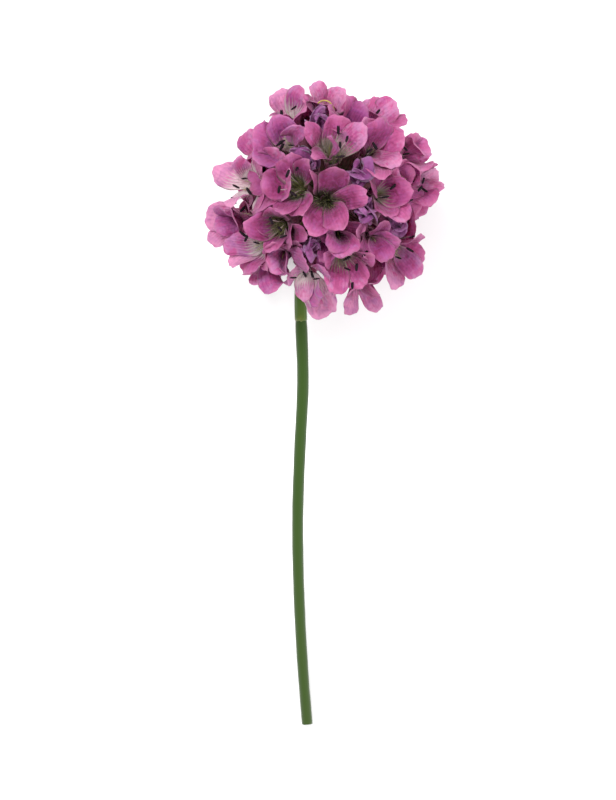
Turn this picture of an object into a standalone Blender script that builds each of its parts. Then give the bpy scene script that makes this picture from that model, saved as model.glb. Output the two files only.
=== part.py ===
"""A thrift flower head, cut with a length of its scape and laid down on a flat surface.

Units are metres and +Z is up. The head lies towards +Y and the cut end of the scape towards -Y.
The lowest petals and the cut end rest on Z = 0, and the origin is the middle of the footprint.
Every floret grows outwards from one receptacle at the middle of the head.
"""

import math

import bmesh
import bpy
from mathutils import Quaternion, Vector

MM = 0.001

# Driving dimensions
HEAD_RADIUS = 19.4 * MM  # middle of the receptacle to the petal tips
HEAD_HEIGHT = 17.4 * MM  # middle of the receptacle above the surface
RECEPTACLE_RADIUS = 3.0 * MM
SCAPE_RADIUS = 0.98 * MM  # just below the sheath
SCAPE_CUT_RADIUS = 0.86 * MM
SCAPE_NECK_RADIUS = 0.8 * MM  # inside the sheath
GAP = 0.25 * MM  # clearance between a piece and what carries it
MERGE_DISTANCE = 0.01 * MM
ROUNDING = 0.001

# The scape's centre line from the cut end to the neck, in mm: X and Y from the middle of the
# receptacle, and the height above the surface
SCAPE_ROUTE = (
    (-3.1, -86.8, 0.85),
    (-3.9, -76.6, 2.2),
    (-4.5, -64.6, 3.7),
    (-4.7, -52.6, 5.1),
    (-4.3, -40.6, 6.5),
    (-3.8, -30.2, 7.9),
    (-4.1, -20.4, 9.6),
    (-4.2, -13.4, 11.4),
    (-2.9, -7.6, 13.6),
)
SCAPE_BEVEL = 3  # bevel resolution
SCAPE_STEPS = 44

# The florets and buds on the upper side: turn round +Z from +X, and lean away from +Z, in degrees.
# The third number turns the floret's first petal about its own axis.
UPPER_FLORETS = (
    (-60, 2, 3),
    (155, 21, 33),
    (82, 32, 27),
    (6, 38, 10),
    (8, 84, 15),
    (-149, 38, 40),
    (-75, 43, 23),
    (-35, 76, 21),
    (-106, 61, 63),
    (172, 60, 59),
    (-167, 82, 20),
    (-145, 64, 41),
    (127, 48, 62),
    (114, 84, 45),
    (89, 84, 38),
    (47, 50, 60),
    (31, 84, 36),
    (60, 82, 36),
    (-130, 84, 10),
    (-68, 84, 50),
    (146, 80, 25),
    (-68, 24, 20),
    (-40, 45, 35),
    (19, 61, 15),
    (72, 61, 50),
    (-127, 52, 5),
)
UPPER_BUDS = (
    (114, 27),
    (96, 51),
    (34, 25),
    (-16, 26),
    (-109, 31),
    (-20, 51),
)
LOWER_FLORETS = 19
LOWER_BUDS = 1
LOWER_SPIN = 31  # degrees from one floret to the next
STEM_SHARE = 40  # degrees round the scape that carry bracts and no florets
CLEAR_OF_UPPER = 17  # degrees from the upper florets within which no lower one starts
START_PLACES = 140  # even directions from which the lower florets' starting places are taken
SPREAD_PASSES = 160
SPREAD_STEP = 0.0006
LONGEST_STEP = 0.03
SCAPE_PUSH = 12  # how much harder the scape pushes florets away than they push each other

# One floret, as a turned profile of radius against distance from the middle of the receptacle
PEDICEL_RADIUS = 0.42 * MM
CALYX_BASE = 6.2 * MM
CALYX_BASE_RADIUS = 0.62 * MM
CALYX_MOUTH = 12.0 * MM
CALYX_MOUTH_RADIUS = 1.1 * MM
THROAT_RADIUS = 0.75 * MM
PETAL_WALL = 0.3 * MM
RIM_WALL = 0.18 * MM
FUNNEL_BEND = 0.52  # of the mouth's radius, halfway up the corolla
PETAL_START = 1.0 * MM  # above the calyx's mouth, where the petals part
PETALS = 5
SIDES_PER_PETAL = 3
LOBE_CUT = 3.2 * MM  # how far the rim is cut back between two petals
LOBE_PINCH = 0.3  # share of the radius that the rim loses between two petals
TIP_SHARE = 0.4  # how near the gap a petal's tip still stands at full length, from 0 to 1
TIP_SPREAD = 1.9  # a petal's width at its tip, against its even share
FLORET_SHARE = 0.475  # of the angle to the nearest floret that a corolla may fill
BUD_SHARE = 5.4  # degrees that a corolla leaves for a bud beside it
WIDEST_CONE = 15  # degrees from a floret's axis to its petal tips

# One bud
BUD_TIP = 16.4 * MM
BUD_RADIUS = 1.15 * MM
BUD_SIDES = 8

# The involucre: ovate scales round the top of the scape, and the sheath below them
BRACTS = 5
BRACT_LENGTH = 5.6 * MM
BRACT_FOOT_LEAN = 23  # degrees from the scape's axis
BRACT_TIP_LEAN = 20
BRACT_HALF_SPAN = 31  # degrees round the scape, at the foot
BRACT_NARROWING = 0.75  # of that span lost by the tip
BRACT_WALL = 0.22 * MM
SHEATH_TOP = 6.4 * MM  # below the middle of the receptacle
SHEATH_LENGTH = 14.0 * MM
SHEATH_WALL = 0.14 * MM
SHEATH_GAP = 0.1 * MM
SHEATH_SLOPE = 1.5 * MM  # over which the scape narrows into the sheath

COLOURS = {
    "scape": ((0.06, 0.13, 0.035, 1.0), 0.5),
    "scape_sheath": ((0.14, 0.17, 0.04, 1.0), 0.6),
    "receptacle": ((0.28, 0.36, 0.13, 1.0), 0.7),
    "bract": ((0.42, 0.3, 0.17, 1.0), 0.75),
    "floret": ((0.56, 0.12, 0.34, 1.0), 0.55),
    "bud": ((0.3, 0.08, 0.3, 1.0), 0.55),
}


def clear_scene():
    for obj in list(bpy.data.objects):
        bpy.data.objects.remove(obj)


def new_material(name):
    colour, roughness = COLOURS[name]
    material = bpy.data.materials.new(name)
    material.use_nodes = True
    shader = material.node_tree.nodes["Principled BSDF"]
    shader.inputs["Base Color"].default_value = colour
    shader.inputs["Roughness"].default_value = roughness
    shader.inputs["Metallic"].default_value = 0.0
    return material


def add_piece(name, mesh, material, head):
    """An object of the flower, placed from the middle of the receptacle."""
    piece = bpy.data.objects.new(name, mesh)
    bpy.data.collections["thrift_flower_head"].objects.link(piece)
    if not mesh.materials:
        mesh.materials.append(material)
    piece.parent = head
    return piece


def direction(turn, lean):
    turn, lean = math.radians(turn), math.radians(lean)
    return Vector(
        (
            math.sin(lean) * math.cos(turn),
            math.sin(lean) * math.sin(turn),
            math.cos(lean),
        )
    )


def spiral_directions(count):
    """Even directions over a whole sphere, by the golden angle."""
    golden = math.pi * (3 - math.sqrt(5))
    for i in range(count):
        height = 1 - 2 * (i + 0.5) / count
        across = math.sqrt(1 - height * height)
        yield Vector(
            (across * math.cos(i * golden), across * math.sin(i * golden), height)
        )


def push_from(place, other):
    """How hard one direction pushes another away, falling off steeply with the distance."""
    away = place - other
    return away / away.length**5


def lower_directions(fixed, count):
    """Directions that fill the rest of the head, pushed apart from each other and from the scape."""
    neck = neck_direction()
    open_places = [
        place
        for place in spiral_directions(START_PLACES)
        if place.angle(neck) > math.radians(STEM_SHARE)
        and min(place.angle(other) for other in fixed) > math.radians(CLEAR_OF_UPPER)
    ]
    step = len(open_places) / count
    free = [open_places[int(i * step)].copy() for i in range(count)]
    for _ in range(SPREAD_PASSES):
        for i, place in enumerate(free):
            push = SCAPE_PUSH * push_from(place, neck)
            for other in fixed + free[:i] + free[i + 1 :]:
                push += push_from(place, other)
            push -= push.dot(place) * place
            step_length = min(push.length * SPREAD_STEP, LONGEST_STEP)
            free[i] = (place + push.normalized() * step_length).normalized()
    return free


def turned_mesh(name, profile, sides):
    """A closed solid turned about local +Z. Its profile of (radius, height) starts and ends on the axis."""
    bm = bmesh.new()
    points = [bm.verts.new((radius, 0, height)) for radius, height in profile]
    edges = [bm.edges.new(pair) for pair in zip(points, points[1:])]
    bmesh.ops.spin(
        bm,
        geom=points + edges,
        cent=(0, 0, 0),
        axis=(0, 0, 1),
        angle=2 * math.pi,
        steps=sides,
        use_merge=True,
    )
    bmesh.ops.remove_doubles(bm, verts=bm.verts, dist=MERGE_DISTANCE)
    bmesh.ops.recalc_face_normals(bm, faces=bm.faces)
    mesh = bpy.data.meshes.new(name)
    bm.to_mesh(mesh)
    bm.free()
    return mesh


def floret_profile(mouth_radius):
    """Pedicel, calyx and corolla, up the outside and down the inside of the funnel."""
    flare = HEAD_RADIUS - CALYX_MOUTH
    foot = RECEPTACLE_RADIUS + GAP
    return (
        (0, foot),
        (PEDICEL_RADIUS, foot),
        (CALYX_BASE_RADIUS, CALYX_BASE),
        (CALYX_MOUTH_RADIUS, CALYX_MOUTH),
        (FUNNEL_BEND * mouth_radius, CALYX_MOUTH + 0.5 * flare),
        (mouth_radius, HEAD_RADIUS - PETAL_WALL),
        (mouth_radius - RIM_WALL, HEAD_RADIUS),
        (FUNNEL_BEND * mouth_radius - PETAL_WALL, CALYX_MOUTH + 0.56 * flare),
        (THROAT_RADIUS, CALYX_MOUTH + PETAL_WALL),
        (0, CALYX_MOUTH - PETAL_WALL),
    )


def shape_petals(mesh, mouth_radius):
    """Parts the funnel into petals: the rim is cut back between them and each one widens to its tip."""
    petal_angle = 2 * math.pi / PETALS
    for vertex in mesh.vertices:
        x, y, z = vertex.co
        rise = (z - CALYX_MOUTH - PETAL_START) / (HEAD_RADIUS - CALYX_MOUTH - PETAL_START)
        radius = math.hypot(x, y)
        if rise <= 0 or radius < 0.1 * mouth_radius:
            continue
        turn = math.atan2(y, x)
        middle = (math.floor(turn / petal_angle + ROUNDING) + 0.5) * petal_angle
        from_middle = turn - middle
        between = 0.5 - 0.5 * math.cos(2 * math.pi * from_middle / petal_angle)
        cut = min(rise, 1) ** 2 * max(between - TIP_SHARE, 0) / (1 - TIP_SHARE)
        if cut == 0:
            turn = middle + from_middle * (1 + (TIP_SPREAD - 1) * rise)
        radius *= 1 - LOBE_PINCH * cut
        vertex.co = (radius * math.cos(turn), radius * math.sin(turn), z - LOBE_CUT * cut)


def upright_to(axis):
    """The shortest turn that carries +Z to the axis."""
    return Vector((0, 0, 1)).rotation_difference(axis)


def settle(mesh, turn):
    """Presses a corolla back into its own cone until its lowest petal tip lies on the surface."""
    press = 0
    for vertex in mesh.vertices:
        rise = (vertex.co.z - CALYX_MOUTH) / (HEAD_RADIUS - CALYX_MOUTH)
        below = -(turn @ vertex.co).z
        if rise > 0 and below > HEAD_HEIGHT:
            press = max(press, (1 - HEAD_HEIGHT / below) * vertex.co.z / rise)
    for vertex in mesh.vertices:
        rise = max(vertex.co.z - CALYX_MOUTH, 0) / (HEAD_RADIUS - CALYX_MOUTH)
        if rise > 0:
            vertex.co *= 1 - press * rise / vertex.co.z


def add_floret(name, axis, spin, cone, material, head):
    mouth_radius = HEAD_RADIUS * math.tan(cone)
    mesh = turned_mesh(name, floret_profile(mouth_radius), SIDES_PER_PETAL * PETALS)
    shape_petals(mesh, mouth_radius)
    turn = upright_to(axis) @ Quaternion((0, 0, 1), math.radians(spin))
    settle(mesh, turn)
    mesh.shade_smooth()
    piece = add_piece(name, mesh, material, head)
    piece.rotation_euler = turn.to_euler()


def add_bud(name, axis, material, head):
    foot = RECEPTACLE_RADIUS + GAP
    profile = (
        (0, foot),
        (PEDICEL_RADIUS, foot),
        (CALYX_BASE_RADIUS, CALYX_BASE),
        (CALYX_MOUTH_RADIUS, CALYX_MOUTH - 1.5 * MM),
        (BUD_RADIUS, BUD_TIP - 2.4 * MM),
        (0.6 * BUD_RADIUS, BUD_TIP - 0.5 * MM),
        (0, BUD_TIP),
    )
    mesh = turned_mesh(name, profile, BUD_SIDES)
    mesh.shade_smooth()
    piece = add_piece(name, mesh, material, head)
    piece.rotation_euler = upright_to(axis).to_euler()


def widest_cone(axis, florets, buds):
    """How far a corolla opens before it would reach its nearest neighbour."""
    to_floret = min(axis.angle(other) for other in florets if other is not axis)
    to_bud = min(axis.angle(other) for other in buds)
    return min(
        FLORET_SHARE * to_floret,
        to_bud - math.radians(BUD_SHARE),
        math.radians(WIDEST_CONE),
    )


def add_florets_and_buds(head):
    florets = [direction(turn, lean) for turn, lean, _ in UPPER_FLORETS]
    buds = [direction(turn, lean) for turn, lean in UPPER_BUDS]
    spins = [spin for _, _, spin in UPPER_FLORETS]
    free = lower_directions(florets + buds, LOWER_FLORETS + LOWER_BUDS)
    free.sort(key=lambda place: place.z)
    bud_step = len(free) // LOWER_BUDS
    buds += free[bud_step // 4 :: bud_step]
    florets += [place for place in free if place not in buds]
    spins += [LOWER_SPIN * i for i in range(LOWER_FLORETS)]
    floret_material = new_material("floret")
    bud_material = new_material("bud")
    for i, (axis, spin) in enumerate(zip(florets, spins)):
        cone = widest_cone(axis, florets, buds)
        add_floret(f"floret_{i + 1:02d}", axis, spin, cone, floret_material, head)
    for i, axis in enumerate(buds):
        add_bud(f"bud_{i + 1:02d}", axis, bud_material, head)


def add_receptacle(head):
    bpy.ops.mesh.primitive_uv_sphere_add(
        segments=16, ring_count=10, radius=RECEPTACLE_RADIUS
    )
    piece = bpy.context.object
    piece.name = "receptacle"
    for collection in list(piece.users_collection):
        collection.objects.unlink(piece)
    bpy.data.collections["thrift_flower_head"].objects.link(piece)
    piece.data.materials.append(new_material("receptacle"))
    piece.data.shade_smooth()
    piece.parent = head


def smooth_route(points, steps):
    """Even steps along a Catmull-Rom curve through the points."""
    ends = [2 * points[0] - points[1], *points, 2 * points[-1] - points[-2]]
    route = []
    for i in range(steps + 1):
        place = i / steps * (len(points) - 1)
        k = min(int(place), len(points) - 2)
        t = place - k
        a, b, c, d = ends[k : k + 4]
        route.append(
            0.5
            * (
                2 * b
                + (c - a) * t
                + (2 * a - 5 * b + 4 * c - d) * t**2
                + (3 * b - a - 3 * c + d) * t**3
            )
        )
    return route


def scape_places():
    """The points that the scape passes through, from the cut end to the neck."""
    return [Vector((x, y, z)) * MM - Vector((0, 0, HEAD_HEIGHT)) for x, y, z in SCAPE_ROUTE]


def neck_direction():
    return scape_places()[-1].normalized()


def scape_route():
    """The scape's centre line, ended one gap short of the receptacle."""
    stop = neck_direction() * (RECEPTACLE_RADIUS + GAP)
    return smooth_route([*scape_places(), stop], SCAPE_STEPS)


def sheath_share(place):
    """0 on the open scape and 1 inside the sheath, with a short slope between them."""
    start = SHEATH_TOP + SHEATH_LENGTH
    return min(max((start - place.length) / SHEATH_SLOPE + 1, 0), 1)


def tube_curve(name, route, radii, capped):
    curve = bpy.data.curves.new(name, "CURVE")
    curve.dimensions = "3D"
    curve.bevel_depth = MM
    curve.bevel_resolution = SCAPE_BEVEL
    curve.use_fill_caps = capped
    spline = curve.splines.new("POLY")
    spline.points.add(len(route) - 1)
    for point, place, radius in zip(spline.points, route, radii):
        point.co = (*place, 1)
        point.radius = radius / MM
    return curve


def add_scape(head):
    route = scape_route()
    radii = []
    for i, place in enumerate(route):
        along = i / (len(route) - 1)
        open_radius = SCAPE_CUT_RADIUS + (SCAPE_RADIUS - SCAPE_CUT_RADIUS) * along
        inside = sheath_share(place)
        radii.append(open_radius + (SCAPE_NECK_RADIUS - open_radius) * inside)
    curve = tube_curve("scape", route, radii, capped=True)
    add_piece("scape", curve, new_material("scape"), head)


def add_sheath(head):
    """The tight tube that clasps the top of the scape, below the bracts."""
    route = [
        place
        for place in scape_route()
        if SHEATH_TOP < place.length < SHEATH_TOP + SHEATH_LENGTH
    ]
    radii = [SCAPE_NECK_RADIUS + SHEATH_GAP] * len(route)
    curve = tube_curve("scape_sheath", route, radii, capped=False)
    guide = bpy.data.objects.new("sheath_guide", curve)
    bpy.context.scene.collection.objects.link(guide)
    graph = bpy.context.evaluated_depsgraph_get()
    mesh = bpy.data.meshes.new_from_object(guide.evaluated_get(graph))
    bpy.data.objects.remove(guide)
    mesh.name = "scape_sheath"
    mesh.shade_smooth()
    piece = add_piece("scape_sheath", mesh, new_material("scape_sheath"), head)
    add_wall(piece, SHEATH_WALL)


def add_wall(piece, thickness):
    wall = piece.modifiers.new("wall", "SOLIDIFY")
    wall.thickness = thickness
    wall.offset = 1


def bract_mesh(name):
    """An ovate scale along local +Z, cupped round it on the side of local +X."""
    bm = bmesh.new()
    bmesh.ops.create_grid(bm, x_segments=4, y_segments=4, size=0.5)
    for vertex in bm.verts:
        across, along = vertex.co.x * 2, vertex.co.y + 0.5
        distance = RECEPTACLE_RADIUS + GAP + BRACT_LENGTH * along
        lean = math.radians(BRACT_FOOT_LEAN + (BRACT_TIP_LEAN - BRACT_FOOT_LEAN) * along)
        span = math.radians(BRACT_HALF_SPAN) * across * (1 - BRACT_NARROWING * along**2)
        vertex.co = (
            distance * math.sin(lean) * math.cos(span),
            distance * math.sin(lean) * math.sin(span),
            distance * math.cos(lean),
        )
    bmesh.ops.recalc_face_normals(bm, faces=bm.faces)
    mesh = bpy.data.meshes.new(name)
    bm.to_mesh(mesh)
    bm.free()
    mesh.shade_smooth()
    return mesh


def add_bracts(head):
    material = new_material("bract")
    along_neck = upright_to(neck_direction())
    for i in range(BRACTS):
        name = f"involucral_bract_{i + 1}"
        piece = add_piece(name, bract_mesh(name), material, head)
        turn = Quaternion((0, 0, 1), 2 * math.pi * i / BRACTS)
        piece.rotation_euler = (along_neck @ turn).to_euler()
        add_wall(piece, BRACT_WALL)


def set_down(head):
    """Moves the whole flower so that the origin is the bottom centre of its box."""
    bpy.context.view_layer.update()
    graph = bpy.context.evaluated_depsgraph_get()
    places = []
    for piece in head.children:
        whole = piece.evaluated_get(graph)
        mesh = whole.to_mesh()
        places += [whole.matrix_world @ vertex.co for vertex in mesh.vertices]
        whole.to_mesh_clear()
    low, high = (Vector(map(pick, zip(*places))) for pick in (min, max))
    head.location = (-(low.x + high.x) / 2, -(low.y + high.y) / 2, -low.z)


def main():
    clear_scene()
    collection = bpy.data.collections.new("thrift_flower_head")
    bpy.context.scene.collection.children.link(collection)
    head = bpy.data.objects.new("head", None)
    collection.objects.link(head)
    add_scape(head)
    add_sheath(head)
    add_receptacle(head)
    add_bracts(head)
    add_florets_and_buds(head)
    set_down(head)


main()
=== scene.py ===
import math
import random

import bpy
import numpy as np
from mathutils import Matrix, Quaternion, Vector


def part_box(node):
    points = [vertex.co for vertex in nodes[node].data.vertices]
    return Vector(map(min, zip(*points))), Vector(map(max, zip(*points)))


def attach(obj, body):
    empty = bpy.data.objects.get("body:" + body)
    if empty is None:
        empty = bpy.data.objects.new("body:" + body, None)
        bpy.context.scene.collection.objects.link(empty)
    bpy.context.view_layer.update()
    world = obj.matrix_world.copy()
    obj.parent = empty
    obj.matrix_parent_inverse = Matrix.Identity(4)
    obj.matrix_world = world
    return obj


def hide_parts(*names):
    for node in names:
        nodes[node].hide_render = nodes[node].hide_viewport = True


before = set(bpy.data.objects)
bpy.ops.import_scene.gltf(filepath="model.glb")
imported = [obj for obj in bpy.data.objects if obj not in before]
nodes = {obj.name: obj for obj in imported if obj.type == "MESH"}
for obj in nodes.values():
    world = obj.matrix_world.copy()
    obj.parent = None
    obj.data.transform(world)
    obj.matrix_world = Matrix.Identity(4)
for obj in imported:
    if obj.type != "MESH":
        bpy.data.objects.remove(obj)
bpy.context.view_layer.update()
print("frame:", len(nodes), "nodes")

mm = 0.001
headLow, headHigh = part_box("receptacle")
headCentre = (np.array(headLow) + np.array(headHigh)) / 2  # places and sizes below are in mm, from here


def unit(v):
    return v / np.linalg.norm(v, axis=-1, keepdims=True)


def smooth(x, start, end):
    x = np.clip((x - start) / (end - start), 0, 1)
    return x * x * (3 - 2 * x)


# a curve from a to d with the handles b and c
def bezier(t, a, b, c, d):
    return (1 - t) ** 3 * a + 3 * (1 - t) ** 2 * t * b + 3 * (1 - t) * t**2 * c + t**3 * d


# a node's points in metres from the middle of the head
def nodePoints(name):
    mesh = nodes[name].data
    points = np.empty(len(mesh.vertices) * 3)
    mesh.vertices.foreach_get("co", points)
    return points.reshape(-1, 3) - headCentre


def newMesh(name, points, faces, attributes):
    mesh = bpy.data.meshes.new(name)
    mesh.from_pydata((points * mm + headCentre).tolist(), [], faces.tolist())
    for key, values in attributes.items():
        mesh.attributes.new(key, "FLOAT", "POINT").data.foreach_set("value", values)
    mesh.shade_smooth()
    mesh.update()
    return mesh


def newPiece(mesh, material, replaced=()):
    piece = bpy.data.objects.new(mesh.name, mesh)
    bpy.context.scene.collection.objects.link(piece)
    mesh.materials.clear()
    mesh.materials.append(material)
    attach(piece, "root")
    if replaced:
        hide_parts(*replaced)


# materials: short calls that add one node each, and what the skins share

def feed(tree, socket, value):
    if isinstance(value, bpy.types.NodeSocket):
        tree.links.new(value, socket)
    else:
        socket.default_value = value


def addNode(tree, kind, inputs=None, **settings):
    node = tree.nodes.new(kind)
    for key, value in settings.items():
        setattr(node, key, value)
    for key, value in (inputs or {}).items():
        feed(tree, node.inputs[key], value)
    return node


def newMaterial(name, fixed):
    material = bpy.data.materials.new(name)
    material.use_nodes = True
    shader = material.node_tree.nodes["Principled BSDF"]
    for key, value in fixed.items():
        shader.inputs[key].default_value = value
    return material, material.node_tree, shader


def attribute(tree, name):
    return addNode(tree, "ShaderNodeAttribute", attribute_name=name).outputs["Fac"]


def noise(tree, coords, scale, detail, distortion=0.0):
    inputs = {"Vector": coords, "Scale": scale, "Detail": detail, "Distortion": distortion}
    return addNode(tree, "ShaderNodeTexNoise", inputs).outputs["Fac"]


# stops are a place with a colour or with a grey
def ramp(tree, factor, stops, interpolation="LINEAR"):
    node = addNode(tree, "ShaderNodeValToRGB", {"Fac": factor})
    node.color_ramp.interpolation = interpolation
    elements = node.color_ramp.elements
    while len(elements) < len(stops):
        elements.new(0.5)
    for element, (place, colour) in zip(elements, stops):
        element.position = place
        element.color = (*colour, 1) if isinstance(colour, tuple) else (colour, colour, colour, 1)
    return node.outputs["Color"]


def calc(tree, operation, *values, clamp=False):
    inputs = dict(enumerate(values))
    return addNode(tree, "ShaderNodeMath", inputs, operation=operation, use_clamp=clamp).outputs[0]


def mixColour(tree, factor, a, b):
    a, b = ((*c, 1) if isinstance(c, tuple) else c for c in (a, b))
    return addNode(tree, "ShaderNodeMix", {0: factor, 6: a, 7: b}, data_type="RGBA").outputs[2]


def addBump(tree, shader, height, strength, distance):
    bump = addNode(tree, "ShaderNodeBump", {"Height": height, "Strength": strength, "Distance": distance})
    tree.links.new(bump.outputs[0], shader.inputs["Normal"])


# light that shines through a thin part
def addGlow(tree, shader, colour, share):
    through = addNode(tree, "ShaderNodeBsdfTranslucent", {"Color": colour})
    mix = addNode(tree, "ShaderNodeMixShader", {0: share, 1: shader.outputs[0], 2: through.outputs[0]})
    tree.links.new(mix.outputs[0], tree.nodes["Material Output"].inputs["Surface"])


petalLook = {
    "throat": (0.34, 0.31, 0.18),  # inside the corolla, where the limb turns into the claw
    "throatLight": (0.98, 0.91, 0.89),
    # painted shade at the very bottom of the deep throats
    "throatDark": (0.085, 0.07, 0.03),
    "throatVein": (0.13, 0.14, 0.055),
    "claw": (0.54, 0.13, 0.27),  # the outer side of the claw
    "magenta": (0.27, 0.022, 0.125),
    "pink": (0.44, 0.066, 0.23),
    "bright": (0.60, 0.128, 0.345),
    "pale": (0.75, 0.355, 0.565),
    "violet": (0.34, 0.080, 0.34),
    # painted light: the paler colour of the thin rims, as light shining through them
    "rim": (0.74, 0.33, 0.53),
    "rimShare": 0.55,
    "paler": 0.42,  # painted shade and light from the claw to the tip of a petal: darker down in the crevices, paler at the tip
    "mottle": 0.55,
    "veins": 26.0,
    "veinShare": 0.42,
    "scales": (380.0, 760.0, 1500.0, 4000.0),  # of the clouds, the patches, the crinkles and the fine grain
    "bumpDepth": 0.22 * mm,
    "translucency": 0.48,
}

budLook = {
    **petalLook,
    "magenta": (0.15, 0.012, 0.085),
    "pink": (0.30, 0.045, 0.19),
    "bright": (0.50, 0.19, 0.42),
    "violet": (0.23, 0.045, 0.215),
    # painted light on the buds' thin rims
    "rim": (0.58, 0.34, 0.60),
    # a stronger painted shade and light from the claw to the tip of a bud's petals
    "paler": 0.75,
    "mottle": 0.9,
    "translucency": 0.3,
}


def petalMaterial(name, look):
    fixed = {"Roughness": 0.55, "Specular IOR Level": 0.25, "Sheen Weight": 0.2}
    material, tree, shader = newMaterial(name, fixed)
    along = attribute(tree, "along")
    across = attribute(tree, "across")
    light = attribute(tree, "light")
    coords = addNode(tree, "ShaderNodeTexCoord").outputs["Object"]
    scales = look["scales"]
    cloud = noise(tree, coords, scales[0], 3.0)
    patch = noise(tree, coords, scales[1], 4.0, 0.8)
    crinkle = noise(tree, coords, scales[2], 3.0)
    fine = noise(tree, coords, scales[3], 2.0)
    # colour of the limb: each petal's own tint, drifting over its surface, with violet patches
    drift = calc(tree, "MULTIPLY_ADD", cloud, 1.0, -0.5)
    grain = calc(tree, "MULTIPLY_ADD", patch, 0.9, -0.45)
    own = calc(tree, "ADD", calc(tree, "ADD", attribute(tree, "tint"), drift), grain)
    own = calc(tree, "MULTIPLY_ADD", calc(tree, "SUBTRACT", crinkle, 0.48), look["mottle"], own)
    # painted shade and light: darker toward the claw, down in the crevices between the florets, paler toward
    # the tip
    own = calc(tree, "MULTIPLY_ADD", calc(tree, "SUBTRACT", along, 0.75), look["paler"], own, clamp=True)
    tints = ((0.0, look["magenta"]), (0.3, look["pink"]), (0.68, look["bright"]), (1.0, look["pale"]))
    limb = ramp(tree, own, tints)
    cool = calc(tree, "MULTIPLY_ADD", patch, 2.2, -0.95)
    cool = calc(tree, "ADD", cool, attribute(tree, "cool"), clamp=True)
    limb = mixColour(tree, calc(tree, "MULTIPLY", cool, 0.75), limb, look["violet"])
    # painted light: the thin rim is coloured paler, as the light through it would show
    edge = calc(tree, "MAXIMUM", calc(tree, "ABSOLUTE", across), along)
    edge = calc(tree, "POWER", edge, 11.0, clamp=True)
    limb = mixColour(tree, calc(tree, "MULTIPLY", edge, look["rimShare"]), limb, look["rim"])
    # veins run from the claw and fade towards the rim
    wander = calc(tree, "MULTIPLY_ADD", cloud, 0.16, across)
    wave = calc(tree, "SINE", calc(tree, "MULTIPLY", wander, look["veins"]))
    vein = calc(tree, "POWER", calc(tree, "MULTIPLY_ADD", wave, 0.5, 0.5), 3.0)
    veinShare = calc(tree, "MULTIPLY", vein, ramp(tree, along, ((0.0, 1.0), (0.6, 0.6), (1.0, 0.05))))
    limb = mixColour(tree, calc(tree, "MULTIPLY", veinShare, look["veinShare"]), limb, look["magenta"])
    # the throat: pale and green-veined inside; its very bottom is painted dark, painted shade of the deep
    # throat that stands in partly for the dark hairs in it
    bare = mixColour(tree, light, look["throat"], look["throatLight"])
    strength = calc(tree, "MULTIPLY_ADD", light, -0.32, 0.52)
    bare = mixColour(tree, calc(tree, "MULTIPLY", veinShare, strength), bare, look["throatVein"])
    # painted shade: the bottom of each throat is darkened by its shade value
    low = ramp(tree, along, ((0.30, 1.0), (0.56, 0.0)), "EASE")
    bare = mixColour(tree, calc(tree, "MULTIPLY", low, attribute(tree, "shade")), bare, look["throatDark"])
    back = mixColour(tree, 0.45, look["claw"], limb)
    base = mixColour(tree, attribute(tree, "inside"), back, bare)
    height = calc(tree, "MULTIPLY_ADD", cloud, 0.16, along)
    height = calc(tree, "SUBTRACT", height, attribute(tree, "pale"))
    height = calc(tree, "MULTIPLY_ADD", vein, -0.12, height)
    colour = mixColour(tree, ramp(tree, height, ((0.34, 0.0), (0.60, 1.0)), "EASE"), base, limb)
    tree.links.new(colour, shader.inputs["Base Color"])
    relief = calc(tree, "MULTIPLY_ADD", fine, 0.2, veinShare)
    relief = calc(tree, "MULTIPLY_ADD", crinkle, 1.8, relief)
    relief = calc(tree, "MULTIPLY_ADD", patch, 2.0, relief)
    addBump(tree, shader, relief, 0.7, look["bumpDepth"])
    addGlow(tree, shader, colour, look["translucency"])
    return material


# one noise and one ramp: the noise alone, or some of it on top of an attribute of the piece
def plainMaterial(name, look):
    fixed = {"Roughness": look["roughness"], "Specular IOR Level": look.get("shine", 0.3)}
    material, tree, shader = newMaterial(name, {**fixed, "Sheen Weight": look.get("sheen", 0.0)})
    coords = addNode(tree, "ShaderNodeTexCoord").outputs["Object"]
    if "stretch" in look:
        coords = addNode(tree, "ShaderNodeMapping", {"Vector": coords, "Scale": look["stretch"]}).outputs[0]
    cloud = noise(tree, coords, look.get("scale", 900.0), 4.0)
    factor = cloud
    if "over" in look:
        spots = calc(tree, "SUBTRACT", cloud, 0.5)
        factor = calc(tree, "MULTIPLY_ADD", spots, look.get("spots", 0.6), attribute(tree, look["over"]))
    colour = ramp(tree, factor, look["stops"])
    tree.links.new(colour, shader.inputs["Base Color"])
    addBump(tree, shader, cloud, 0.4, 0.2 * mm)
    if "translucency" in look:
        addGlow(tree, shader, colour, look["translucency"])
    return material


petalSkin = petalMaterial("petalSkin", petalLook)
budSkin = petalMaterial("budSkin", budLook)
print("petal materials")

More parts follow.
